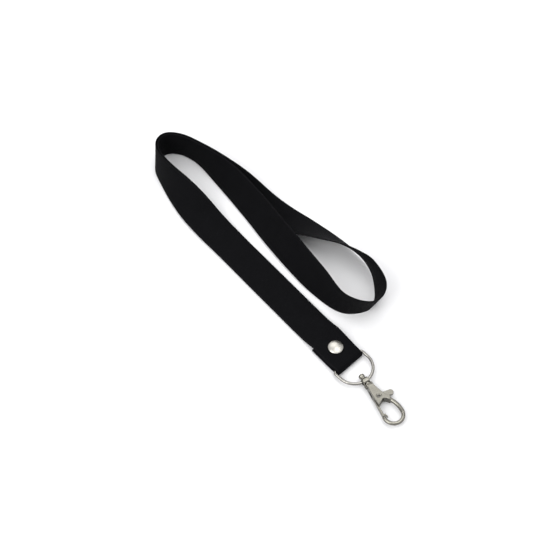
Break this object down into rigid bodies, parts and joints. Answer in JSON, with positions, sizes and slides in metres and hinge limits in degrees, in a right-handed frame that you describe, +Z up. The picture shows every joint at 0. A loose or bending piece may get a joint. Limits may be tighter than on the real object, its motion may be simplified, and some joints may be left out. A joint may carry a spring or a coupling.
{
  "type": "neck lanyard",
  "caption": "Flat ribbed neck ribbon folded double and riveted round a D-ring that carries a swivel trigger hook, laid out on a table.",
  "frame": {"origin": "middle of the rivet's underside, on the table", "axes": "+X along the strap's straight upper run towards the hook, +Z up, +Y towards the strap's short side loop"},
  "size_m": [0.2379, 0.0684, 0.0208],
  "materials": {
    "ribbon": "fine cross ribs, dull with a faint sheen",
    "nickel": "nickel plate, polished by tumbling",
    "pin_steel": "plain cut steel",
    "spring_steel": "drawn spring wire"
  },
  "bodies": {
    "strap": {"strap": "ribbon", "rivet_cap": "nickel", "rivet_back": "nickel"},
    "ring": {"d_ring": "nickel"},
    "swivel": {"swivel_eye": "nickel"},
    "hook": {"hook_body": "nickel", "pivot_pin": "pin_steel", "gate_spring": "spring_steel"},
    "gate": {"gate_lever": "nickel"}
  },
  "joints": [
    {"name": "ring_swing", "type": "hinge", "parent": "strap", "child": "ring", "pos_m": [0.011, 0, 0.0029], "axis": [-0.1045, 0.9945, 0], "range_deg": [-100, 100]},
    {"name": "eye_swing", "type": "hinge", "parent": "ring", "child": "swivel", "pos_m": [0.02724, -0.0002, 0.0029], "axis": [0.0698, 0.9976, 0], "range_deg": [-80, 80]},
    {"name": "hook_spin", "type": "hinge", "parent": "swivel", "child": "hook", "pos_m": [0.02724, -0.0002, 0.0029], "axis": [0.9976, -0.0698, 0], "continuous": true},
    {"name": "gate_swing", "type": "hinge", "parent": "hook", "child": "gate", "pos_m": [0.04011, -0.0011, 0.0029], "axis": [0, 0, 1], "range_deg": [0, 25], "stiffness_Nm_per_rad": 0.02, "springref_deg": -28.65}
  ]
}
